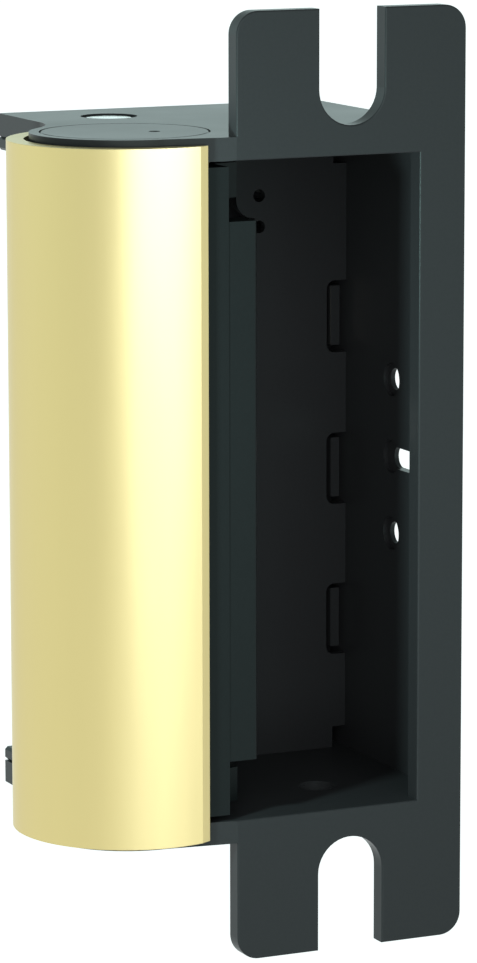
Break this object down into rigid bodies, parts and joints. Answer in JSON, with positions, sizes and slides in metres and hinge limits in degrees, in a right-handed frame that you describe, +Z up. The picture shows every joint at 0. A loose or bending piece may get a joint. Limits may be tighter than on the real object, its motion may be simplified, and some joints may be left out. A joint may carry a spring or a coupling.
{
  "type": "electric door strike",
  "caption": "Electric door strike with a slotted flange, a deep latch pocket and a half-round keeper that swings open when the lock lever is released.",
  "frame": {"origin": "centre of the flange's front face, midway between the two fixing slots", "axes": "+X to the right seen from the front, +Y into the door frame, +Z up along the flange"},
  "size_m": [0.0531, 0.0428, 0.1142],
  "materials": {
    "black_paint": "satin",
    "screw_steel": "satin",
    "lead_insulation": "matt",
    "contact_brass": "polished",
    "socket_plastic": "matt",
    "rubber": "matt",
    "black_cast": "satin",
    "pin_steel": "polished",
    "bright_brass": "satin",
    "spring_steel": "satin",
    "black_steel": "satin",
    "zinc_steel": "satin",
    "bush_bronze": "satin",
    "bobbin_plastic": "matt",
    "coil_tape": "matt"
  },
  "bodies": {
    "housing_body": {"housing": "black_paint", "top_cap": "black_paint", "bottom_cap": "black_paint", "rear_case": "black_steel", "case_screws": "screw_steel", "solenoid_screws": "screw_steel", "keeper_pivot_pin": "pin_steel", "pivot_clip": "pin_steel", "keeper_spring": "spring_steel", "keeper_buffers": "rubber", "lever_pin": "pin_steel", "lever_clip": "pin_steel", "solenoid_yoke": "zinc_steel", "solenoid_bobbin": "bobbin_plastic", "solenoid_coil": "coil_tape", "solenoid_core": "zinc_steel", "inlet_socket": "socket_plastic", "inlet_contacts": "contact_brass", "plunger_spring": "spring_steel", "coil_leads": "lead_insulation"},
    "keeper": {"keeper_frame": "black_cast", "keeper_skin": "bright_brass", "skin_screws": "screw_steel", "keeper_lip": "black_cast", "lip_screws": "black_steel", "pivot_bushes": "bush_bronze"},
    "lock_plunger": {"plunger": "zinc_steel", "link_pin": "pin_steel"},
    "lever": {"lock_lever": "zinc_steel"}
  },
  "joints": [
    {"name": "keeper_swing", "type": "hinge", "parent": "housing_body", "child": "keeper", "pos_m": [-0.0178, 0.0317, 0], "axis": [0, 0, -1], "range_deg": [0, 50], "stiffness_Nm_per_rad": 0.05, "springref_deg": -11.46},
    {"name": "plunger_slide", "type": "slide", "parent": "housing_body", "child": "lock_plunger", "axis": [0, 0, 1], "range_m": [0, 0.00283], "stiffness_N_per_m": 120, "springref_m": -0.002, "deforming": ["plunger_spring"]},
    {"name": "lever_turn", "type": "hinge", "parent": "housing_body", "child": "lever", "pos_m": [0, 0.0355, 0], "axis": [0, -1, 0], "range_deg": [0, 22.1]}
  ],
  "couplings": [
    {"joint": "lever_turn", "follows": "plunger_slide", "rad_per_m": 135.77}
  ]
}
